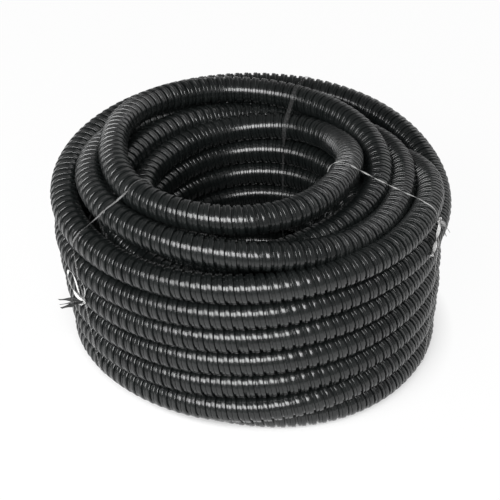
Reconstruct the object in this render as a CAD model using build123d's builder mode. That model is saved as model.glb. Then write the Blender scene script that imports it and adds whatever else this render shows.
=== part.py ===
from build123d import *
import math
import os

# Millimetres, +Z up. The coil lies flat, its axis is Z, and z = 0 is the floor.
# The three ties pass under the coil, so they are what touches the floor.

# The conduit
conduit_outside = 25.0
conduit_bore = 20.0

# The coil: radii and heights are those of the centres of its turns
outer_wall_radius = 158.3
outer_wall_turns = 6
outer_wall_pitch = 25.0
outer_wall_inset = 0.9
crown_steps = [(20.3, 19.7), (20.7, 14.3)]
eye_wall_radius = 100.0
eye_wall_turns = 6
eye_wall_pitch = 26.0
foot_steps = [(18.5, 17.0), (25.0, 0.0)]
eye_wall_rise = 22.2
crease_fill = 5.0

# The outer end of the conduit: it leaves the foot at the back, goes on clockwise as seen
# from above, as the turns do on their way down, and lies on the floor
end_leaves_at = 140.0
end_sweep = 80.0
end_widening = 35.0
straight_end = 30.0
bore_depth = 28.0

# The ties: each is a flat band round the coil's section, knotted on the outer wall
tie_width = 4.0
tie_thickness = 0.6
tie_clearance = 0.2
knot_radius = 2.8
knot_length = 7.0
knot_rounding = 2.0
knot_bite = 0.4
tail_width = 3.0
tail_droop = 8.0

# Where each tie goes round, where its knot is, and how its tails lie
tie_azimuth = {"tie_left": 216.0, "tie_right": 334.0, "tie_back": 70.0}
knot_height = {"tie_left": 98.0, "tie_right": 147.0, "tie_back": 118.0}
tail_length = {"tie_left": 24.0, "tie_right": 12.0, "tie_back": 10.0}
tail_heading = {"tie_left": 190.0, "tie_right": 328.0, "tie_back": 156.0}
tail_spread = 14.0

turn_radius = conduit_outside / 2
foot_height = tie_thickness + tie_clearance + turn_radius


def walk(start, steps):
    """Places reached from a start by steps towards the eye and upwards."""
    places = []
    radius, height = start
    for inward, up in steps:
        radius -= inward
        height += up
        places.append((radius, height))
    return places


# Centres of the turns that show, from the foot of the outer wall round to its foot again
outer_foot_height = foot_height + sum(down for inward, down in foot_steps)
outer_foot_radius = outer_wall_radius - outer_wall_inset * (outer_wall_turns - 1)
outer_wall = [
    (outer_foot_radius + outer_wall_inset * row, outer_foot_height + outer_wall_pitch * row)
    for row in range(outer_wall_turns)
]
crown = walk(outer_wall[-1], crown_steps)
foot = walk(outer_wall[0], [(inward, -down) for inward, down in foot_steps])
eye_wall = [
    (eye_wall_radius, foot_height + eye_wall_rise + eye_wall_pitch * row)
    for row in range(eye_wall_turns)
]
shown_turns = outer_wall + crown + eye_wall[::-1] + foot[::-1]

# The circle that the loose end follows, with its centre moved away from the end
end_radius = foot[0][0] + end_widening
end_heading = math.radians(end_leaves_at)
end_centre = Vector(-end_widening * math.cos(end_heading), -end_widening * math.sin(end_heading))
cut_at = math.radians(end_leaves_at - end_sweep)
straight_starts = end_centre + Vector(
    end_radius * math.cos(cut_at), end_radius * math.sin(cut_at), foot_height
)
end_direction = Vector(math.sin(cut_at), -math.cos(cut_at))
end_face = Plane(origin=straight_starts + end_direction * straight_end, z_dir=end_direction)


def upright(azimuth):
    """The upright plane through the coil's axis at an azimuth, with its X outwards."""
    turn = math.radians(azimuth)
    return Plane(
        origin=(0, 0, 0),
        x_dir=(math.cos(turn), math.sin(turn), 0),
        z_dir=(math.sin(turn), -math.cos(turn), 0),
    )


def loose_end_at(azimuth):
    """Where the loose end crosses the upright plane at an azimuth, as a list of at most one place.

    It crosses at a slant, so its place is further out by what it reaches across a tie's width.
    """
    if not end_leaves_at - end_sweep < azimuth < end_leaves_at:
        return []
    off = math.radians(end_leaves_at - azimuth)
    aside = end_widening * math.sin(off)
    radius = math.sqrt(end_radius**2 - aside**2) - end_widening * math.cos(off)
    slant = math.asin(aside / end_radius)
    reach = turn_radius * (1 / math.cos(slant) - 1) + tie_width / 2 * math.tan(slant)
    return [(radius + reach, foot_height)]


# The conduit, coiled: one turned solid with a round bead for each turn that shows
with BuildPart() as conduit_coil:
    with BuildSketch(Plane.XZ):
        with BuildLine():
            Polyline(*shown_turns, close=True)
        make_face()
        offset(amount=crease_fill)
        with Locations(*shown_turns):
            Circle(turn_radius)
    revolve(axis=Axis.Z)
    with BuildSketch(upright(end_leaves_at)):
        with Locations(foot[0]):
            Circle(turn_radius)
    revolve(axis=Axis(end_centre, (0, 0, -1)), revolution_arc=end_sweep)
    with BuildSketch(end_face):
        Circle(turn_radius)
    extrude(amount=-straight_end)
    with BuildSketch(end_face):
        Circle(conduit_bore / 2)
    extrude(amount=-bore_depth, mode=Mode.SUBTRACT)
conduit_coil.part.label = "conduit_coil"


def hull_round(turns, gap):
    """The tight outline round turns of the conduit, a gap away from them."""
    with BuildSketch() as outline:
        with Locations(*turns):
            Circle(turn_radius + gap)
        make_hull()
    return outline.sketch


def make_tie(name):
    """A taut band in an upright plane, with its knot and two tails on the outer wall."""
    azimuth = tie_azimuth[name]
    height = knot_height[name]
    turns = shown_turns + loose_end_at(azimuth)
    inner = hull_round(turns, tie_clearance)
    outer = hull_round(turns, tie_clearance + tie_thickness)
    wall_rows_up = (height - outer_foot_height) / outer_wall_pitch
    wall_radius = outer_foot_radius + outer_wall_inset * wall_rows_up
    knot_off = turn_radius + tie_clearance + tie_thickness + knot_radius - knot_bite
    knot_out = wall_radius + knot_off
    turn = math.radians(azimuth)
    knot_at = Vector(knot_out * math.cos(turn), knot_out * math.sin(turn), height)
    with BuildPart(mode=Mode.PRIVATE) as knot:
        Cylinder(knot_radius, knot_length)
        fillet(knot.edges().filter_by(GeomType.CIRCLE), knot_rounding)
    with BuildPart() as tie:
        with BuildSketch(upright(azimuth)):
            add(outer)
        extrude(amount=tie_width / 2, both=True)
        with BuildSketch(upright(azimuth)):
            add(inner)
        extrude(amount=tie_width, both=True, mode=Mode.SUBTRACT)
        with Locations(knot_at):
            add(knot.part)
        for side in (-1, 1):
            heading = tail_heading[name] + side * tail_spread
            with Locations(Location(knot_at, (0, tail_droop, heading))):
                Box(
                    tail_length[name],
                    tail_width,
                    tie_thickness,
                    align=(Align.MIN, Align.CENTER, Align.CENTER),
                )
    return tie.part


os.makedirs("parts", exist_ok=True)
export_step(conduit_coil.part, "parts/conduit_coil.step")

for name in tie_azimuth:
    tie_part = make_tie(name)
    tie_part.label = name
    export_step(tie_part, f"parts/{name}.step")
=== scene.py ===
import bpy
import math
import numpy as np
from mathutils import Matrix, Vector


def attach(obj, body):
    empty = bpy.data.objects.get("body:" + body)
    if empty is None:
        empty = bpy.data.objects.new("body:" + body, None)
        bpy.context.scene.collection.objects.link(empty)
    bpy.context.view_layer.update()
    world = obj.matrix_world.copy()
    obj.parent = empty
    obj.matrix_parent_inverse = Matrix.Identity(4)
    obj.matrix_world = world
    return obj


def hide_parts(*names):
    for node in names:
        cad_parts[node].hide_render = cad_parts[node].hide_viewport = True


# A coil of black corrugated conduit, wound in layers round an open eye and tied three times.
# Metres, +Z up. The coil's axis is Z, the floor is z = 0, and -Y is the front.

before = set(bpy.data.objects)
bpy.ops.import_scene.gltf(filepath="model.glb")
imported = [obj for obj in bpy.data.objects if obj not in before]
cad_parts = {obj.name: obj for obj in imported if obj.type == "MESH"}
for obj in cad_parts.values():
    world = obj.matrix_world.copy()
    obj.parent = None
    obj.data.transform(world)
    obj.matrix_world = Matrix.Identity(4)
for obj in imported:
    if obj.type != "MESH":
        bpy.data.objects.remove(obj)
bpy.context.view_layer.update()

MM = 0.001

# The conduit
conduit_diameter = 25.0 * MM
bore_diameter = 20.0 * MM
ridge_pitch = 8.3 * MM
ridge_columns = 16
lining_wall = 0.3 * MM
lining_inset = 0.2 * MM
lining_columns = 16
buried_inset = 0.2 * MM
ring_step = 15.0 * MM

# One ridge along the conduit, from groove to groove: share of the pitch, depth below the crown.
# From the groove up to a broad band, over a crease to a lower, narrow band, and down again.
ridge_profile = [
    (0.000, 2.100 * MM),
    (0.045, 0.620 * MM),
    (0.063, 0.330 * MM),
    (0.085, 0.155 * MM),
    (0.115, 0.035 * MM),
    (0.420, 0.080 * MM),
    (0.442, 0.170 * MM),
    (0.460, 0.310 * MM),
    (0.474, 0.530 * MM),
    (0.485, 1.050 * MM),
    (0.518, 1.050 * MM),
    (0.535, 0.600 * MM),
    (0.570, 0.460 * MM),
    (0.755, 0.490 * MM),
    (0.773, 0.575 * MM),
    (0.788, 0.740 * MM),
    (0.805, 1.500 * MM),
    (0.825, 2.100 * MM),
]

# Edges of the ridges that turn by more than this, in degrees, look sharp
sharp_turn = 24.0

# Points of the skin that lie nearer to each other than this are one
merge_distance = 0.01 * MM

# The route of the conduit, from its inner end in the eye to its outer end at the back.
# Each key is degrees turned clockwise from +X, seen from above, with a radius and a height
# in millimetres. A multiple of 360 is the right side, 90 more the front, 180 more the left.
route_step = 15.0
route_resolution = 10

# The eye's wall: even turns that rise, a little off the coil's axis, and sway twice a turn
eye_starts = -1710.0
eye_ends = -180.0
eye_rise = 24.0
eye_top = 145.5
eye_top_at = -90.0
eye_radius = 94.0
eye_offset = 8.0
eye_sway = 4.0
eye_sway_peak = -72.0
eye_sway_level = 0.8

over_the_eye = [
    (-180, 94, 138), (-150, 97, 138), (-120, 100, 140.5), (-90, 102, 145.5), (-60, 104, 150.5),
    (-45, 98, 154), (-30, 90, 160), (-15, 85, 168), (0, 83.5, 176), (15, 84.5, 181.5), (30, 89, 185.5),
    (45, 94.5, 188), (60, 106, 189.5), (75, 116, 190.5), (90, 122.5, 191.3), (105, 124, 191.3),
    (120, 124, 191), (135, 123.5, 190.5), (150, 119.5, 189.5), (165, 115, 187.5), (180, 114.3, 185),
    (195, 119, 181), (210, 127, 177), (225, 133, 172.5), (240, 136.5, 169.5), (255, 136.5, 167.5),
    (270, 132.5, 166), (285, 128, 166), (300, 121.5, 166.5), (315, 115.5, 167.5), (330, 112, 168),
    (345, 110, 168), (360, 110, 165), (375, 111, 162), (390, 108.5, 160.5), (400, 108, 160),
    (410, 109.5, 160), (419, 112, 159.5), (430, 115, 157), (450, 119, 150), (480, 118, 144),
    (510, 117, 138), (540, 117, 131), (560, 117, 127),
]

# The hidden turns down behind the eye's wall
hidden_starts = 600.0
hidden_ends = 1920.0
hidden_top = 124.0
hidden_foot = 38.0
hidden_radius = 117.0
hidden_offset = 6.0

foot_turn = [
    (2040, 110.3, 13.3), (2400, 110.3, 13.3), (2410, 112, 13.3), (2430, 118, 13.3),
    (2460, 133, 13.3), (2480, 146, 13.3), (2500, 152, 13.3), (2520, 154, 13.3), (2550, 154, 13.3),
    (2565, 154.5, 13.3), (2580, 154, 13.3), (2595, 148.5, 13.3), (2610, 142, 13.3),
    (2625, 136, 13.3), (2640, 131, 13.3), (2670, 127, 16), (2700, 126, 22), (2730, 125, 28),
    (2790, 124, 35), (2880, 126, 40), (2970, 130, 45), (3870, 137, 98),
]
crown = [
    (3900, 137, 101), (3930, 137, 105), (3960, 137, 110), (3990, 137, 116), (4020, 138, 124),
    (4050, 138, 132), (4080, 136, 136), (4110, 128, 143), (4140, 118, 149), (4160, 112, 152),
    (4175, 112, 152), (4195, 113.5, 152), (4210, 116, 150.5), (4220, 120, 148.5), (4230, 124, 144),
    (4260, 130, 143), (4290, 132, 152), (4300, 134, 157), (4320, 130, 157.5), (4340, 130.5, 158),
    (4360, 135, 160.5), (4375, 139.5, 163), (4395, 143.5, 169), (4410, 145.3, 175),
    (4440, 145, 176.5), (4455, 142, 175.5), (4470, 139, 173.5), (4500, 135.6, 168.5),
    (4520, 134.5, 163), (4535, 134, 158), (4560, 137, 146), (4575, 139, 140), (4590, 140, 134),
    (4605, 140, 130), (4620, 140, 129), (4635, 140, 129.5), (4650, 140, 132), (4660, 142, 139),
    (4666, 146, 146), (4672, 151, 153),
]
top_of_wall = [
    (4680, 154, 156.5), (4695, 155.5, 157), (4725, 157.5, 155.5), (4740, 157, 153.8),
    (4755, 156.3, 151.5), (4770, 156, 149.5), (4785, 156.5, 148), (4800, 157.5, 147),
    (4830, 158.5, 146.8), (4860, 159, 148.8), (4890, 159.7, 152.5), (4920, 159.8, 155),
    (4950, 159.9, 156.4), (4980, 162, 155.2), (4995, 163.6, 152.2), (5010, 163.6, 146.2),
    (5025, 163.4, 139.5), (5040, 162, 135), (5060, 159.5, 131.5),
]

# The outer wall: even turns that go down, each a little smaller than the last and lifted less
# at the back. They are counted from the front of the topmost one.
wall_starts = 5085.0
wall_ends = 6455.0
wall_counts_from = 4770.0
wall_radius = 157.9
wall_taper = 1.35
wall_shift = -3.6
wall_shift_step = 1.85
wall_offset = 1.3
wall_top = 148.7
wall_pitch = 24.5
wall_tilt = 4.2
wall_back_rise = 22.0
wall_back_rise_step = 3.7

foot_of_wall = [
    (6480, 155, 39), (6510, 154.5, 39), (6525, 155.5, 37.5), (6540, 156.5, 34.5),
    (6555, 156, 30.5), (6570, 155.5, 27.5), (6585, 152.3, 25.5), (6600, 148.5, 24),
    (6615, 145.3, 22.5), (6630, 145.4, 20.5), (6660, 146, 18), (6680, 142, 15.5),
]

# The loose end: a circle of its own, with its centre moved away from the end, then straight
end_leaves_at = 6700.0
end_sweep = 80.0
end_step = 10.0
end_widening = 35.0
foot_radius = 135.3
foot_height = 13.3
straight_end = 30.0
bore_depth = 28.0 * MM

# Where the conduit shows, in degrees turned. Between these stretches it is buried and plain.
shown_stretches = {
    "conduit_eye_wall": (-1800, -60),
    "conduit_crown_inner": (-60, 540),
    "conduit_foot": (1980, 2760),
    "conduit_crown_outer": (3960, 4950),
    "conduit_wall_top": (4950, 5490),
    "conduit_wall_middle": (5490, 6210),
    "conduit_wall_foot": (6210, 6820),
}

# The ties: thin film, drawn into a cord where it is taut, and knotted on the outer wall
film_thickness = 0.25 * MM
film_gap = 0.4 * MM
film_step = 1.5 * MM
film_columns = 8
turn_outline_points = 96
tie_azimuth = {"tie_left": 216.0, "tie_right": 334.0, "tie_back": 70.0}
knot_height = {"tie_left": 94.0 * MM, "tie_right": 155.0 * MM, "tie_back": 118.0 * MM}

# The knot of each tie: how far its middle stands off the band, then the rows of its strand,
# how deep it is for its size, the strand's width in millimetres, and its look as a loop's, whose white
# is partly the film's own and partly painted reflection
knot_off = 1.4 * MM
knot_rows = 61
knot_depth = 0.8
knot_width = 1.5
knot_tone_sheen_and_cover = (0.85, 0.8)

# The loops and tails have so many rows for each key and are evened out so many times. They
# and the knot twist to and fro, so far in radians and so much further on with each row.
strand_rows = 8
strand_smoothings = 8
strand_twist = 0.9
strand_twist_step = 0.17

# How white each band is, and how much of it shows
band_looks = {"tie_left": (0.42, 0.38), "tie_right": (0.75, 0.42), "tie_back": (0.18, 0.13)}

# Each band by the share of the way round it, from its knot up and over: its width in
# millimetres, the half turns that it has twisted by then, and the degrees that it leans
# anticlockwise of its azimuth
bands = {
    "tie_left": [
        (0.0, 1.4, 0, -1.5), (0.04, 1.2, 1, -3), (0.11, 1.4, 2, -3.8), (0.135, 1.7, 2.5, -2.8),
        (0.18, 1.8, 3, 1.8), (0.215, 1.8, 3, 4.6), (0.24, 1.6, 3.5, 6), (0.36, 1.5, 4, 6.5),
        (0.60, 1.6, 4, 4), (0.80, 1.6, 4, 0), (0.95, 1.3, 4, -1.5), (0.98, 2.6, 4, -1.5),
        (1.0, 1.6, 5, -1.5),
    ],
    "tie_right": [
        (0.0, 0.9, 0, 2.5), (0.05, 1.0, 1, 2.5), (0.15, 1.3, 5, -2), (0.25, 1.0, 9, -7),
        (0.32, 1.0, 10, -8), (0.60, 1.2, 10, 0), (0.75, 1.2, 10, 2.5), (0.85, 0.7, 10, 2.5),
        (1.0, 0.7, 11, 2.5),
    ],
    "tie_back": [
        (0.0, 2.0, 0, 2), (0.06, 4.2, 0, 2), (0.20, 4.4, 0, 0), (0.31, 4.4, 0, 0),
        (0.335, 3.2, 0.3, 0), (0.37, 1.8, 1, 0), (0.80, 2.2, 1, 0), (1.0, 2.0, 1, 2),
    ],
}

# The loops and loose tails of each knot: how white each is drawn, where the loops' white is partly the
# film's own and partly painted reflection, and how much of it shows, then from the knot on the
# millimetres outwards, clockwise and upwards of it, and its width there
strands = {
    "tie_left": [
        (0.9, 1.1, [
            (0, 0, 0, 1.4), (2, 4, 1, 2.2), (3.5, 8, 5, 3.2), (4.5, 12, 12, 3.2), (5, 15.5, 20, 2.8),
            (5, 12.5, 26.5, 1.6), (4.5, 7, 26, 1.4), (4, 3, 19, 1.4), (3, 2, 11, 1.4),
            (2, 1, 5, 1.2), (0, 0, 0, 1.2),
        ]),
        (0.6, 0.7, [
            (0.3, 1, 21, 0.8), (0.4, -1, 19, 1.0), (0.5, -4, 16.5, 1.1), (0.8, -6, 12.5, 1.2),
            (0.6, -4, 7, 1.2), (0.4, -1.5, 4, 1.2), (0, 0, 0, 1.0),
        ]),
        (0.05, 1.3, [(0, 0, 0, 2.0), (3, 6, -1, 3.2), (6, 14, -5, 4.0), (10, 25, -10, 3.0)]),
        (0.00, 1.3, [(0, 0, 0, 2.0), (3, 5, -4, 3.0), (6, 12, -10, 3.8), (10, 22, -17, 2.6)]),
        (0.15, 1.2, [(0, 0, 0, 1.6), (3, 6, -2, 1.8), (6, 13, -8, 1.6), (11, 22, -13, 1.0)]),
        (0.8, 0.7, [
            (0, 0, 0, 1.2), (0.5, -1, -3, 1.4), (1, 3, -6, 1.6), (2, 8, -7, 1.5), (3, 12, -5, 0.8),
        ]),
    ],
    "tie_right": [
        (0.8, 1.1, [
            (0, 0, 0, 1.8), (1, 3, -6, 3.2), (0.7, 7, -13, 4.6), (0.5, 11.5, -20, 5.8),
            (0.3, 15, -26, 6.6),
        ]),
        (0.35, 1.3, [(0, 0, 0, 1.8), (3, 0, -1, 3.0), (6, -1, -5, 3.0), (8.5, -3, -11, 2.0)]),
        (0.15, 1.3, [(0, 0, 0, 1.6), (2.5, 1, -3, 2.4), (5, 1.5, -8, 2.2), (7, 1, -13, 1.4)]),
    ],
    "tie_back": [
        (0.5, 0.6, [(0, 0, 0, 1.6), (2.5, 3, -2, 2.6), (4, 6, -6, 2.4), (4.5, 9, -11, 1.8)]),
        (0.5, 0.6, [(0, 0, 0, 1.6), (2.5, -3, -2, 2.4), (4, -5, -7, 2.2), (4, -6, -12, 1.4)]),
    ],
}

# The sheathing's finish: noise as a patchy cloud, as streaks round the conduit and as a grain
sheath_tones = [(0.3, (0.0050, 0.0061, 0.0061)), (0.7, (0.0098, 0.0114, 0.0112))]
sheath_cloud_scale = 45.0
sheath_streaks_scale = (1500.0, 110.0, 110.0)
sheath_grain_scale = 1400.0
sheath_grain_share = 0.3
sheath_roughness = 0.06
sheath_cloud_roughness = 0.12
sheath_streaks_roughness = 0.18
sheath_index = 1.57
sheath_bump = 0.16
sheath_bump_depth = 0.15 * MM

# The film's finish: noise as a fine cloud, in its whiteness, gloss, cover and folds
film_tones = [(0.0, (0.010, 0.011, 0.011)), (0.2, (0.10, 0.10, 0.10)), (1.0, (0.74, 0.74, 0.73))]
film_cloud_scale = 700.0
film_cloud_white = 0.5
film_roughness = 0.35
film_cloud_roughness = 0.25
film_specular = 0.3
film_cover = 0.6
film_cloud_cover = 0.8
film_bump = 0.7
film_bump_depth = 0.5 * MM


def eye_wall_keys():
    """Keys of the even turns of the eye's wall."""
    keys = []
    for turned in np.arange(eye_starts, eye_ends, route_step):
        height = eye_top + eye_rise * (turned - eye_top_at) / 360
        sway = math.cos(math.radians(2 * (turned - eye_sway_peak)))
        height += eye_sway * (sway - eye_sway_level)
        keys.append((turned, eye_radius - eye_offset * math.sin(math.radians(turned)), height))
    return keys


def hidden_keys():
    """Keys of the hidden turns, which are evenly spaced."""
    keys = []
    for turned in np.arange(hidden_starts, hidden_ends + route_step, 2 * route_step):
        share = (turned - hidden_starts) / (hidden_ends - hidden_starts)
        height = hidden_top + (hidden_foot - hidden_top) * share
        keys.append((turned, hidden_radius - hidden_offset * math.sin(math.radians(turned)), height))
    return keys


def outer_wall_keys():
    """Keys of the even turns of the outer wall."""
    keys = []
    for turned in np.arange(wall_starts, wall_ends, route_step):
        turn = (turned - wall_counts_from) / 360
        right = math.cos(math.radians(turned))
        front = math.sin(math.radians(turned))
        radius = wall_radius - wall_taper * turn
        radius += (wall_shift + wall_shift_step * turn) * right - wall_offset * front
        height = wall_top - wall_pitch * turn
        back_rise = wall_back_rise - wall_back_rise_step * math.floor(turn)
        height += wall_tilt * right + back_rise * max(0.0, -front)
        keys.append((turned, radius, height))
    return keys


def loose_end_keys():
    """Keys of the loose end, which leaves the foot on a wider circle."""
    wide = foot_radius + end_widening
    keys = []
    for off in np.arange(0.0, end_sweep + end_step / 2, end_step):
        aside = end_widening * math.sin(math.radians(off))
        radius = math.sqrt(wide**2 - aside**2) - end_widening * math.cos(math.radians(off))
        keys.append((end_leaves_at + off, radius, foot_height))
    return keys


def end_face_centre():
    """The centre of the loose end's face, as the CAD part has it."""
    wide = foot_radius + end_widening
    heading = math.radians(-end_leaves_at)
    cut = heading - math.radians(end_sweep)
    x = -end_widening * math.cos(heading) + wide * math.cos(cut) + straight_end * math.sin(cut)
    y = -end_widening * math.sin(heading) + wide * math.sin(cut) - straight_end * math.cos(cut)
    return x, y, foot_height


def smooth(rows):
    """Evens rows out where they stand, all but the first and the last."""
    rows[1:-1] = (rows[:-2] + 2 * rows[1:-1] + rows[2:]) / 4


def route_points():
    """Control points of the whole route, every few degrees, in metres."""
    keys = eye_wall_keys() + over_the_eye + hidden_keys() + foot_turn + crown + top_of_wall
    keys = np.array(keys + outer_wall_keys() + foot_of_wall + loose_end_keys())
    turned = np.arange(eye_starts, keys[-1, 0], route_step)
    radius = np.interp(turned, keys[:, 0], keys[:, 1])
    height = np.interp(turned, keys[:, 0], keys[:, 2])
    smooth(radius)
    smooth(height)

    # A quadratic spline cuts its corners: three quarters are a point's own, the rest its
    # neighbours', so the points lie further out by as much
    cut_corner = 0.75 + 0.25 * math.cos(math.radians(route_step))
    radius = radius / cut_corner
    angle = -np.radians(turned)
    points = np.stack([radius * np.cos(angle), radius * np.sin(angle), height], axis=1)
    return np.vstack([points, end_face_centre()]) * MM


def placed(name, data):
    """A new object in the scene that holds a mesh, a curve, a camera or a light."""
    holder = bpy.data.objects.new(name, data)
    bpy.context.scene.collection.objects.link(holder)
    return holder


def make_route(points):
    """The route as one smooth NURBS curve object, which isn't itself shown."""
    curve = bpy.data.curves.new("conduit_route", "CURVE")
    curve.dimensions = "3D"
    curve.resolution_u = route_resolution
    spline = curve.splines.new("NURBS")
    spline.points.add(len(points) - 1)
    for place, point in zip(spline.points, points):
        place.co = (*point, 1.0)
    spline.order_u = 3
    spline.use_endpoint_u = True
    return placed("conduit_route", curve)


class Line:
    """The points that the route's curve runs through, with lengths and frames along it."""

    def __init__(self, route):
        mesh = bpy.data.meshes.new_from_object(route)
        self.points = np.array([vertex.co for vertex in mesh.vertices], float)
        bpy.data.meshes.remove(mesh)
        steps = np.linalg.norm(np.diff(self.points, axis=0), axis=1)
        self.along = np.concatenate([[0.0], np.cumsum(steps)])
        self.length = float(self.along[-1])
        angle = np.unwrap(np.arctan2(self.points[:, 1], self.points[:, 0]))
        self.turned = eye_starts - np.degrees(angle - angle[0])
        self.tangents = np.gradient(self.points, self.along, axis=0)

    def length_at(self, turned):
        return float(np.interp(turned, self.turned, self.along))

    def turned_at(self, lengths):
        return np.interp(lengths, self.along, self.turned)

    def frames(self, lengths):
        """Places on the line, with the directions outwards from the coil and upwards."""
        places, tangents = (
            np.stack([np.interp(lengths, self.along, values[:, k]) for k in range(3)], axis=1)
            for values in (self.points, self.tangents)
        )
        tangents /= np.linalg.norm(tangents, axis=1)[:, None]
        outwards = np.cross((0.0, 0.0, 1.0), tangents)
        outwards /= np.linalg.norm(outwards, axis=1)[:, None]
        return places, outwards, np.cross(tangents, outwards)


class Value:
    """A node's output, which Python's operators turn into Math nodes."""

    def __init__(self, graph, socket):
        self.graph = graph
        self.socket = socket

    def __add__(self, other):
        return self.graph.math("ADD", self, other)

    def __sub__(self, other):
        return self.graph.math("SUBTRACT", self, other)

    def __rsub__(self, other):
        return self.graph.math("SUBTRACT", other, self)

    def __mul__(self, other):
        return self.graph.math("MULTIPLY", self, other)

    def __truediv__(self, other):
        return self.graph.math("DIVIDE", self, other)

    def __mod__(self, other):
        return self.graph.math("FLOORED_MODULO", self, other)

    __radd__ = __add__
    __rmul__ = __mul__


class Graph:
    """A node tree that is written as Python expressions."""

    def __init__(self, tree):
        self.tree = tree

    def node(self, kind, settings=None, inputs=None, output=0):
        """Adds a node: its settings first, then the values or links of its sockets."""
        made = self.tree.nodes.new(kind)
        for name, value in (settings or {}).items():
            if name == "stops":
                set_stops(made.color_ramp, value)
            elif name == "curve":
                set_curve(made.mapping, value)
            else:
                setattr(made, name, value)
        for name, value in (inputs or {}).items():
            if isinstance(value, Value):
                self.tree.links.new(value.socket, made.inputs[name])
            else:
                made.inputs[name].default_value = value
        if output is None:
            return made
        return Value(self, made.outputs[output])

    def math(self, operation, *values):
        return self.node("ShaderNodeMath", {"operation": operation}, dict(enumerate(values)))

    def vector(self, operation, *values):
        settings = {"operation": operation}
        return self.node("ShaderNodeVectorMath", settings, dict(enumerate(values)))

    def measure(self, operation, *values):
        settings = {"operation": operation}
        return self.node("ShaderNodeVectorMath", settings, dict(enumerate(values)), "Value")

    def scaled(self, direction, size):
        settings = {"operation": "SCALE"}
        return self.node("ShaderNodeVectorMath", settings, {0: direction, "Scale": size})


def emptied(holder):
    """The graph of a material or a world, cleared of its nodes."""
    holder.use_nodes = True
    holder.node_tree.nodes.clear()
    return Graph(holder.node_tree)


def set_stops(ramp, stops):
    """A colour ramp's stops, each a place and a grey or a colour."""
    while len(ramp.elements) > 1:
        ramp.elements.remove(ramp.elements[-1])
    for number, (place, colour) in enumerate(stops):
        stop = ramp.elements[0] if number == 0 else ramp.elements.new(place)
        stop.position = place
        stop.color = (colour,) * 3 + (1.0,) if isinstance(colour, float) else (*colour, 1.0)


def set_curve(mapping, points):
    """A float curve's points, joined by straight lines."""
    curve = mapping.curves[0]
    for place, value in points[1:-1]:
        curve.points.new(place, value)
    curve.points[0].location = points[0]
    curve.points[-1].location = points[-1]
    for point in curve.points:
        point.handle_type = "VECTOR"
    mapping.update()


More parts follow.
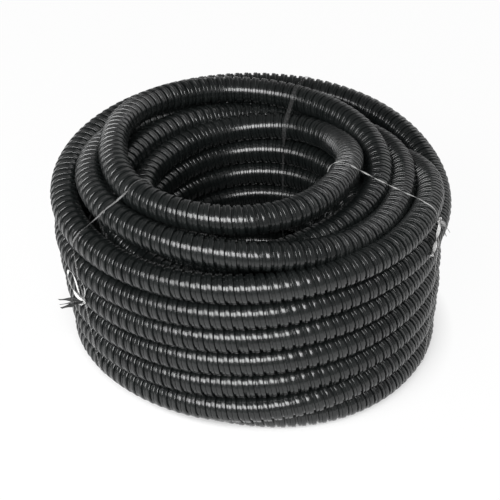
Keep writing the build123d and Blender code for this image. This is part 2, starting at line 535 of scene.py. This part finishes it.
def ridges_tree():
    """Geometry nodes that wrap a helically ridged skin round a stretch of the route."""
    tree = bpy.data.node_groups.new("conduit_ridges", "GeometryNodeTree")
    sockets = [
        ("Route", "NodeSocketObject"),
        ("Start", "NodeSocketFloat"),
        ("Ridges", "NodeSocketInt"),
        ("Route Length", "NodeSocketFloat"),
        ("Pitch", "NodeSocketFloat"),
        ("Radius", "NodeSocketFloat"),
        ("Bore Radius", "NodeSocketFloat"),
        ("Columns", "NodeSocketInt"),
        ("Finish", "NodeSocketMaterial"),
    ]
    for name, kind in sockets:
        tree.interface.new_socket(name, in_out="INPUT", socket_type=kind)
    tree.interface.new_socket("Geometry", in_out="OUTPUT", socket_type="NodeSocketGeometry")
    graph = Graph(tree)
    given = graph.node("NodeGroupInput", output=None)
    given = {name: Value(graph, given.outputs[name]) for name, _ in sockets}

    rows = len(ridge_profile)
    across = given["Columns"] + 1
    last_row = given["Ridges"] * rows
    grid = graph.node(
        "GeometryNodeMeshGrid",
        {},
        {"Size X": 1.0, "Size Y": 1.0, "Vertices X": last_row + 1, "Vertices Y": across},
    )
    index = graph.node("GeometryNodeInputIndex")
    round_share = (index % across) / given["Columns"]
    row = graph.math("FLOOR", index / across)
    ridge = graph.math("FLOOR", row / rows)
    shares = [(number / rows, share) for number, (share, _) in enumerate(ridge_profile)]
    shares.append((1.0, 1.0))
    along_ridge = graph.node(
        "ShaderNodeFloatCurve", {"curve": shares}, {"Factor": 1.0, "Value": row / rows - ridge}
    )
    length = given["Start"] + given["Pitch"] * (ridge + along_ridge + round_share)
    length = graph.math("MAXIMUM", graph.math("MINIMUM", length, given["Route Length"]), 0.0)

    # The depth is read at the place along the ridge that is left after the ends are cut square
    phase = ((length - given["Start"]) / given["Pitch"] - round_share) % 1.0
    deepest = max(depth for _, depth in ridge_profile)
    depths = [(share, depth / deepest) for share, depth in ridge_profile] + [(1.0, 1.0)]
    depth = graph.node("ShaderNodeFloatCurve", {"curve": depths}, {"Factor": 1.0, "Value": phase})
    radius = given["Radius"] - depth * deepest

    # The first and the last row turn in to the bore, which closes a cut end
    is_lip = graph.math("LESS_THAN", row, 0.5) + graph.math("GREATER_THAN", row, last_row - 0.5)
    radius = radius + (given["Bore Radius"] - radius) * is_lip

    route = graph.node(
        "GeometryNodeObjectInfo", {}, {"Object": given["Route"]}, output="Geometry"
    )
    sampled = graph.node(
        "GeometryNodeSampleCurve", {"mode": "LENGTH"}, {"Curves": route, "Length": length}, output=None
    )
    place, tangent = (Value(graph, sampled.outputs[name]) for name in ("Position", "Tangent"))
    outwards = graph.vector("NORMALIZE", graph.vector("CROSS_PRODUCT", (0.0, 0.0, 1.0), tangent))
    upwards = graph.vector("CROSS_PRODUCT", tangent, outwards)
    angle = round_share * math.tau
    level = graph.scaled(outwards, radius * graph.math("COSINE", angle))
    upright = graph.scaled(upwards, radius * graph.math("SINE", angle))
    spot = graph.vector("ADD", place, graph.vector("ADD", level, upright))

    # Each point remembers its place on the conduit as if it lay straight, for the finish
    straight = graph.node(
        "ShaderNodeCombineXYZ",
        {},
        {
            "X": length,
            "Y": given["Radius"] * graph.math("COSINE", angle),
            "Z": given["Radius"] * graph.math("SINE", angle),
        },
    )
    skin = graph.node("GeometryNodeSetPosition", {}, {"Geometry": grid, "Position": spot})
    skin = graph.node(
        "GeometryNodeStoreNamedAttribute",
        {"data_type": "FLOAT_VECTOR", "domain": "POINT"},
        {"Geometry": skin, "Name": "straight_place", "Value": straight},
    )
    skin = graph.node(
        "GeometryNodeMergeByDistance", {}, {"Geometry": skin, "Distance": merge_distance}
    )
    skin = graph.node("GeometryNodeFlipFaces", {}, {"Mesh": skin})
    skin = graph.node("GeometryNodeRealizeInstances", {}, {"Geometry": skin})
    skin = graph.node("GeometryNodeSetMaterial", {}, {"Geometry": skin, "Material": given["Finish"]})
    graph.node("NodeGroupOutput", {}, {"Geometry": skin}, output=None)
    return tree


def made_by(tree, name, values):
    """A plain mesh object that a node tree makes from the values of its named inputs."""
    piece = placed(name, bpy.data.meshes.new(name))
    modifier = piece.modifiers.new(tree.name, "NODES")
    modifier.node_group = tree
    for item in tree.interface.items_tree:
        if item.in_out == "INPUT" and item.name in values:
            modifier[item.identifier] = values[item.name]
    bpy.context.view_layer.update()
    depsgraph = bpy.context.evaluated_depsgraph_get()
    mesh = bpy.data.meshes.new_from_object(piece.evaluated_get(depsgraph), depsgraph=depsgraph)
    piece.modifiers.clear()
    piece.data = mesh
    mesh.shade_smooth()
    mesh.set_sharp_from_angle(angle=math.radians(sharp_turn))
    return piece


def conduit_finish():
    """Black plastic sheathing, drawn smooth: glossy, with faint streaks round it and a dull bloom."""
    material = bpy.data.materials.new("conduit_black")
    graph = emptied(material)
    place = graph.node("ShaderNodeTexCoord", output="Object")
    straight = graph.node(
        "ShaderNodeAttribute", {"attribute_name": "straight_place"}, output="Vector"
    )
    stretched = graph.vector("MULTIPLY", straight, sheath_streaks_scale)
    cloud, streaks, grain = (
        graph.node("ShaderNodeTexNoise", {}, {"Vector": at, "Scale": scale, "Detail": detail})
        for at, scale, detail in (
            (place, sheath_cloud_scale, 3.0),
            (stretched, 1.0, 3.0),
            (place, sheath_grain_scale, 2.0),
        )
    )
    tone = graph.node("ShaderNodeValToRGB", {"stops": sheath_tones}, {"Fac": cloud})
    height = streaks * (1 - sheath_grain_share) + grain * sheath_grain_share
    bump = graph.node(
        "ShaderNodeBump",
        {},
        {"Height": height, "Strength": sheath_bump, "Distance": sheath_bump_depth},
    )
    cloudy = cloud * sheath_cloud_roughness
    streaky = streaks * sheath_streaks_roughness
    shader = graph.node(
        "ShaderNodeBsdfPrincipled",
        {},
        {
            "Base Color": tone,
            "Roughness": sheath_roughness + cloudy + streaky,
            "IOR": sheath_index,
            "Normal": bump,
        },
    )
    graph.node("ShaderNodeOutputMaterial", {}, {"Surface": shader}, output=None)
    return material


def film_finish():
    """Thin plastic film that lets things show through, as white as each strand's look gives, where the
    loops' white is partly painted reflection.
    """
    material = bpy.data.materials.new("tie_film")
    graph = emptied(material)
    place = graph.node("ShaderNodeTexCoord", output="Object")
    cloud = graph.node(
        "ShaderNodeTexNoise", {}, {"Vector": place, "Scale": film_cloud_scale, "Detail": 3.0}
    )
    look = graph.node("ShaderNodeAttribute", {"attribute_name": "film_look"}, output="Vector")
    look = graph.node("ShaderNodeSeparateXYZ", {}, {0: look}, output=None)
    white, shown = (Value(graph, look.outputs[name]) for name in ("X", "Y"))
    # Whiteness from each strand's look, which on the loops and knot is partly painted reflection
    white = white + (cloud - 0.5) * film_cloud_white
    tone = graph.node("ShaderNodeValToRGB", {"stops": film_tones}, {"Fac": white})
    folds = graph.node(
        "ShaderNodeBump",
        {},
        {"Height": cloud, "Strength": film_bump, "Distance": film_bump_depth},
    )
    shader = graph.node(
        "ShaderNodeBsdfPrincipled",
        {},
        {
            "Base Color": tone,
            "Roughness": film_roughness + cloud * film_cloud_roughness,
            "Specular IOR Level": film_specular,
            "Alpha": shown * (film_cover + cloud * film_cloud_cover),
            "Normal": folds,
        },
    )
    graph.node("ShaderNodeOutputMaterial", {}, {"Surface": shader}, output=None)
    return material


def ellipses(places, wide, thin, columns):
    """Rings of points round places, from the two half axes of each."""
    angles = np.linspace(0.0, math.tau, columns, endpoint=False)[None, :, None]
    return places[:, None] + np.cos(angles) * wide[:, None] + np.sin(angles) * thin[:, None]


def solid(name, tubes, finish):
    """A smooth mesh object of closed tubes, each given by its rings of points."""
    corners = []
    faces = []
    for rings in tubes:
        count, columns = rings.shape[:2]
        first = len(corners)
        for near in range(first, first + (count - 1) * columns, columns):
            far = near + columns
            for column in range(columns):
                beside = (column + 1) % columns
                faces.append((near + column, near + beside, far + beside, far + column))
        last = first + (count - 1) * columns
        faces.append(tuple(range(first, first + columns))[::-1])
        faces.append(tuple(range(last, last + columns)))
        corners += rings.reshape(-1, 3).tolist()
    mesh = bpy.data.meshes.new(name)
    mesh.from_pydata(corners, [], faces)
    mesh.shade_smooth()
    mesh.materials.append(finish)
    return placed(name, mesh)


def lining(line, finish):
    """The whole length as a plain tube, with a bore at each cut end.

    It is nearly the full size where the conduit is buried, and the ridges' lining where it shows.
    """
    bore = bore_diameter / 2
    lengths = np.arange(ring_step, line.length - ring_step / 2, ring_step)
    turned = line.turned_at(lengths)
    covered = np.zeros(len(lengths), bool)
    for begins, ends in shown_stretches.values():
        covered |= (turned > begins) & (turned < ends)
    radii = np.where(covered, bore + lining_wall, conduit_diameter / 2 - buried_inset)
    first = [(bore_depth, bore), (lining_inset, bore), (lining_inset, bore + lining_wall)]
    last = [(line.length - length, radius) for length, radius in reversed(first)]
    lengths, radii = np.array(first + list(zip(lengths, radii)) + last).T
    places, outwards, upwards = line.frames(lengths)
    radii = radii[:, None]
    rings = ellipses(places, radii * outwards, radii * upwards, lining_columns)
    return solid("conduit", [rings], finish)


def ridged_stretches(line, route, finish):
    """The ridged skin of every stretch that shows, in whole ridges."""
    tree = ridges_tree()
    pieces = []
    last_end = None
    for name, (begins, ends) in shown_stretches.items():
        if begins != last_end:
            start = line.length_at(begins) if begins > eye_starts else -ridge_pitch
        ridges = round((line.length_at(ends) - start) / ridge_pitch)
        if ends > line.turned[-1]:
            ridges = math.ceil((line.length - start) / ridge_pitch)
        values = {
            "Route": route,
            "Start": start,
            "Ridges": ridges,
            "Route Length": line.length,
            "Pitch": ridge_pitch,
            "Radius": conduit_diameter / 2,
            "Bore Radius": bore_diameter / 2,
            "Columns": ridge_columns,
            "Finish": finish,
        }
        pieces.append(made_by(tree, name, values))
        start += ridges * ridge_pitch
        last_end = ends
    return pieces


def crossings(line, azimuth):
    """The radius and height of the conduit's line each time that it crosses an azimuth."""
    first = math.ceil((line.turned[0] + azimuth) / 360)
    last = math.floor((line.turned[-1] + azimuth) / 360)
    lengths = [line.length_at(360 * count - azimuth) for count in range(first, last + 1)]
    places = line.frames(lengths)[0]
    return np.stack([np.hypot(places[:, 0], places[:, 1]), places[:, 2]], axis=1)


def hull(points):
    """The convex outline of flat points, anticlockwise."""
    points = sorted(map(tuple, points))
    outline = []
    for run in (points, points[::-1]):
        start = len(outline)
        for x, y in run:
            while len(outline) >= start + 2:
                (x0, y0), (x1, y1) = outline[-2:]
                if (x1 - x0) * (y - y0) - (y1 - y0) * (x - x0) > 0:
                    break
                outline.pop()
            outline.append((x, y))
        outline.pop()
    return np.array(outline)


def way_round(line, azimuth, height):
    """The taut way round the turns at an azimuth, from a height on the outer wall up and over."""
    angles = np.linspace(0.0, math.tau, turn_outline_points, endpoint=False)
    circle = np.stack([np.cos(angles), np.sin(angles)], axis=1) * (conduit_diameter / 2 + film_gap)
    outline = hull((crossings(line, azimuth)[:, None] + circle[None]).reshape(-1, 2))
    outline = np.vstack([outline, outline[:1]])
    sides = np.linalg.norm(np.diff(outline, axis=0), axis=1)
    along = np.concatenate([[0.0], np.cumsum(sides)])
    even = np.arange(0.0, along[-1], film_step)
    flat = np.stack([np.interp(even, along, outline[:, k]) for k in range(2)], axis=1)
    nearest = np.argmin(np.hypot(flat[:, 0] - flat[:, 0].max(), flat[:, 1] - height))
    flat = np.roll(flat, -nearest, axis=0)
    return np.vstack([flat, flat[:1]])


def ribbon(path, across, widths, twists):
    """Rings of a strip of film along a path, flat along a direction across it but for its twist."""
    tangents = np.gradient(path, axis=0)
    tangents /= np.linalg.norm(tangents, axis=1)[:, None]
    side = across - np.sum(across * tangents, axis=1)[:, None] * tangents
    side /= np.linalg.norm(side, axis=1)[:, None]
    facing = np.cross(tangents, side)
    wide = np.cos(twists)[:, None] * side + np.sin(twists)[:, None] * facing
    thin = np.cross(tangents, wide)
    return ellipses(path, wide * widths[:, None] / 2, thin * film_thickness / 2, film_columns)


def eased(keys):
    """Many rows from a few, on a smooth curve that keeps both ends."""
    keys = np.array(keys, float)
    even = np.linspace(0, len(keys) - 1, strand_rows * len(keys))
    rows = np.stack([np.interp(even, range(len(keys)), column) for column in keys.T], axis=1)
    for _ in range(strand_smoothings):
        smooth(rows)
    return rows


def trefoil():
    """Rows of the knot, a small trefoil that is pulled flat, as eased gives them for a strand."""
    turn = np.linspace(0.0, math.tau, knot_rows)
    outwards = -knot_depth * np.sin(3 * turn)
    clockwise = np.sin(turn) + 2 * np.sin(2 * turn)
    upwards = np.cos(turn) - 2 * np.cos(2 * turn)
    return np.stack([outwards, clockwise, upwards, np.full(knot_rows, knot_width)], axis=1)


def film_tie(name, line, finish):
    """A tie: its band round the conduit's turns, its knot, and the knot's loops and tails."""
    radii, heights = way_round(line, tie_azimuth[name], knot_height[name]).T
    shares, *columns = np.array(bands[name]).T
    share = np.linspace(0.0, 1.0, len(radii))
    widths, twists, leans = (np.interp(share, shares, column) for column in columns)
    turn = np.radians(tie_azimuth[name] + leans)
    path = np.stack([radii * np.cos(turn), radii * np.sin(turn), heights], axis=1)
    across = np.stack([np.sin(turn), -np.cos(turn), np.zeros(len(turn))], axis=1)
    tubes = [ribbon(path, across, widths * MM, twists * math.pi)]
    looks = [band_looks[name]]

    # The knot and its strands are laid out by the directions outwards, clockwise and upwards
    outwards = np.array([math.cos(turn[0]), math.sin(turn[0]), 0.0])
    frame_here = np.array([outwards, across[0], (0.0, 0.0, 1.0)])
    knot = path[0] + knot_off * outwards
    parts = [(*knot_tone_sheen_and_cover, trefoil())]
    parts += [(white, shown, eased(keys)) for white, shown, keys in strands[name]]
    for white, shown, rows in parts:
        path = knot + rows[:, :3] @ frame_here * MM
        across = np.cross(np.gradient(path, axis=0), outwards)
        twists = np.sin(np.arange(len(rows)) * strand_twist_step) * strand_twist
        tubes.append(ribbon(path, across, rows[:, 3] * MM, twists))
        looks.append((white, shown))

    # Each point remembers how white its film is drawn, on the loops partly as painted reflection, and
    # how much of it shows, for the finish
    tie = solid(name.replace("tie", "film"), tubes, finish)
    looks = [(*look, 0.0) for look, rings in zip(looks, tubes) for _ in range(rings[..., 0].size)]
    film_look = tie.data.attributes.new("film_look", "FLOAT_VECTOR", "POINT")
    film_look.data.foreach_set("vector", np.array(looks).ravel())
    return tie


# Camera and lights

camera_distance = 1.452
camera_azimuth = -90.0
camera_elevation = 34.6
camera_target = (0.0, 0.0, 79.1 * MM)
camera_lens = 118.1
camera_sensor = 36.0

# A row of softboxes, side by side round the coil: how bright each is, from the left on
softbox_radiances = (5.0, 9.0, 11.5, 11.5)
softbox_turn = 20.0
softbox_height = 0.68
softbox_distance = 1.6
softbox_elevation = 35.5
softbox_azimuth = -116.0

# The sky: grey by height of the direction, and how much it lights what is matt
sky_stops = [(0.0, 0.32), (0.10, 0.32), (0.60, 0.18), (1.0, 0.12)]
sky_fill = 0.22

# A white screen that stands at the back on the right, shown in the gloss of that side
screen_azimuth = 35.0
screen_elevation = 14.0
screen_edge = 52.0
screen_core = 30.0
screen_white = 1.0

# The floor: white round the coil and painted grey further off, a painted pool of light. It shows white
# by itself, but under the coil its glow fades out, which paints a soft shadow round the foot, and
# there it has only the light that falls on it.
floor_size = 12.0
light_pool_centre = (0.0, 0.30)
floor_light_pool_stops = [(0.0, 1.0), (0.36, 1.0), (0.60, 0.40), (1.0, 0.30)]
light_pool_reach = 2.0
floor_glow = 0.95
# The floor's white glow is gone within the first radius from the axis and full from the second: a
# painted soft shadow round the coil's foot, inside which the floor has only the light that falls on it
painted_shadow_full_within = 0.135
painted_shadow_gone_at = 0.185


def unit_vector(azimuth, elevation):
    """The direction at an azimuth, anticlockwise from +X, and an elevation, both in degrees."""
    azimuth = math.radians(azimuth)
    elevation = math.radians(elevation)
    level = math.cos(elevation)
    return Vector((level * math.cos(azimuth), level * math.sin(azimuth), math.sin(elevation)))


def set_camera():
    """The photograph's view: from the front, looking down on the coil."""
    camera = placed("camera", bpy.data.cameras.new("camera"))
    camera.data.lens = camera_lens
    camera.data.sensor_width = camera_sensor
    back = unit_vector(camera_azimuth, camera_elevation)
    camera.location = Vector(camera_target) + back * camera_distance
    camera.rotation_euler = (-back).to_track_quat("-Z", "Y").to_euler()
    bpy.context.scene.camera = camera


def add_softboxes():
    """Softboxes in an arc from behind the camera round to the left, dimmer at the left."""
    level = math.cos(math.radians(softbox_elevation))
    width = softbox_distance * level * math.radians(softbox_turn)
    for number, radiance in enumerate(softbox_radiances):
        aside = (number - (len(softbox_radiances) - 1) / 2) * softbox_turn
        back = unit_vector(softbox_azimuth + aside, softbox_elevation)
        lamp = bpy.data.lights.new(f"softbox_{number + 1}", "AREA")
        lamp.shape = "RECTANGLE"
        lamp.size = width
        lamp.size_y = softbox_height
        lamp.energy = radiance * math.pi * width * softbox_height
        holder = placed(lamp.name, lamp)
        holder.location = Vector(camera_target) + back * softbox_distance
        holder.rotation_euler = back.to_track_quat("Z", "Y").to_euler()


def background_rays(graph):
    """1 for the rays that show the background: seen by the camera, or in gloss or glass."""
    path = graph.node("ShaderNodeLightPath", output=None)
    kinds = ("Is Camera Ray", "Is Glossy Ray", "Is Transmission Ray")
    seen, gloss, glass = (Value(graph, path.outputs[kind]) for kind in kinds)
    return graph.math("MINIMUM", seen + gloss + glass, 1.0)


def set_world():
    """A grey sky, darker overhead, with a white screen, for what shows it, and a dim fill."""
    world = bpy.data.worlds.new("studio")
    bpy.context.scene.world = world
    graph = emptied(world)
    direction = graph.node("ShaderNodeTexCoord", output="Generated")
    level = graph.node("ShaderNodeSeparateXYZ", {}, {0: direction}, output="Z")
    shown = graph.node("ShaderNodeValToRGB", {"stops": sky_stops}, {"Fac": level})
    middle = unit_vector(screen_azimuth, screen_elevation)
    nearness = graph.measure("DOT_PRODUCT", direction, middle)
    edge = math.cos(math.radians(screen_edge))
    core = math.cos(math.radians(screen_core))
    screen = graph.node(
        "ShaderNodeMapRange",
        {"interpolation_type": "SMOOTHSTEP"},
        {"Value": nearness, "From Min": edge, "From Max": core, "To Max": screen_white},
    )
    shown = graph.math("MAXIMUM", shown, screen)
    rays = background_rays(graph)
    white = (1.0, 1.0, 1.0, 1.0)
    fill = graph.node("ShaderNodeBackground", {}, {"Color": white, "Strength": sky_fill})
    sky = graph.node("ShaderNodeBackground", {}, {"Color": shown, "Strength": 1.0})
    light = graph.node("ShaderNodeMixShader", {}, {0: rays, 1: fill, 2: sky})
    graph.node("ShaderNodeOutputWorld", {}, {"Surface": light}, output=None)


def add_floor():
    """A white floor, painted grey further off as a pool of light, whose glow fades out under the coil
    as a painted soft shadow, beside the real shadow that its matt part keeps.
    """
    material = bpy.data.materials.new("floor_white")
    graph = emptied(material)
    place = graph.node("ShaderNodeTexCoord", output="Object")
    # The painted pool of light: the floor's colour is white near the coil and painted darker further
    # off
    far = graph.vector("SUBTRACT", place, (*light_pool_centre, 0.0))
    far = graph.measure("LENGTH", far) / light_pool_reach
    tone = graph.node("ShaderNodeValToRGB", {"stops": floor_light_pool_stops}, {"Fac": far})
    off_axis = graph.measure("LENGTH", place)
    # The white glow fades out under the coil, a painted soft shadow round its foot; inside, only the
    # matt part with its real light and shadow shows
    glow = graph.node(
        "ShaderNodeMapRange",
        {},
        {"Value": off_axis, "From Min": painted_shadow_full_within, "From Max": painted_shadow_gone_at, "To Max": floor_glow},
    )
    matt = graph.node("ShaderNodeBsdfDiffuse", {}, {"Color": tone})
    white = graph.node("ShaderNodeEmission", {}, {"Color": tone, "Strength": 1.0})
    shown = graph.node(
        "ShaderNodeMixShader", {}, {0: background_rays(graph) * glow, 1: matt, 2: white}
    )
    graph.node("ShaderNodeOutputMaterial", {}, {"Surface": shown}, output=None)
    signs = [(-1, -1), (1, -1), (1, 1), (-1, 1)]
    corners = [(x * floor_size, y * floor_size, 0.0) for x, y in signs]
    mesh = bpy.data.meshes.new("floor")
    mesh.from_pydata(corners, [], [(0, 1, 2, 3)])
    mesh.materials.append(material)
    floor = placed("floor", mesh)


# Make it

black = conduit_finish()
film = film_finish()

route = make_route(route_points())
line = Line(route)

conduit = lining(line, black)
skins = ridged_stretches(line, route, black)
bpy.data.objects.remove(route)

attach(conduit, "root")
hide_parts("conduit_coil")
for skin in skins:
    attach(skin, "root")

for name in tie_azimuth:
    tie = film_tie(name, line, film)
    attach(tie, "root")
    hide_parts(name)

set_camera()
set_world()
add_floor()
add_softboxes()

bpy.context.scene.view_settings.view_transform = "Standard"
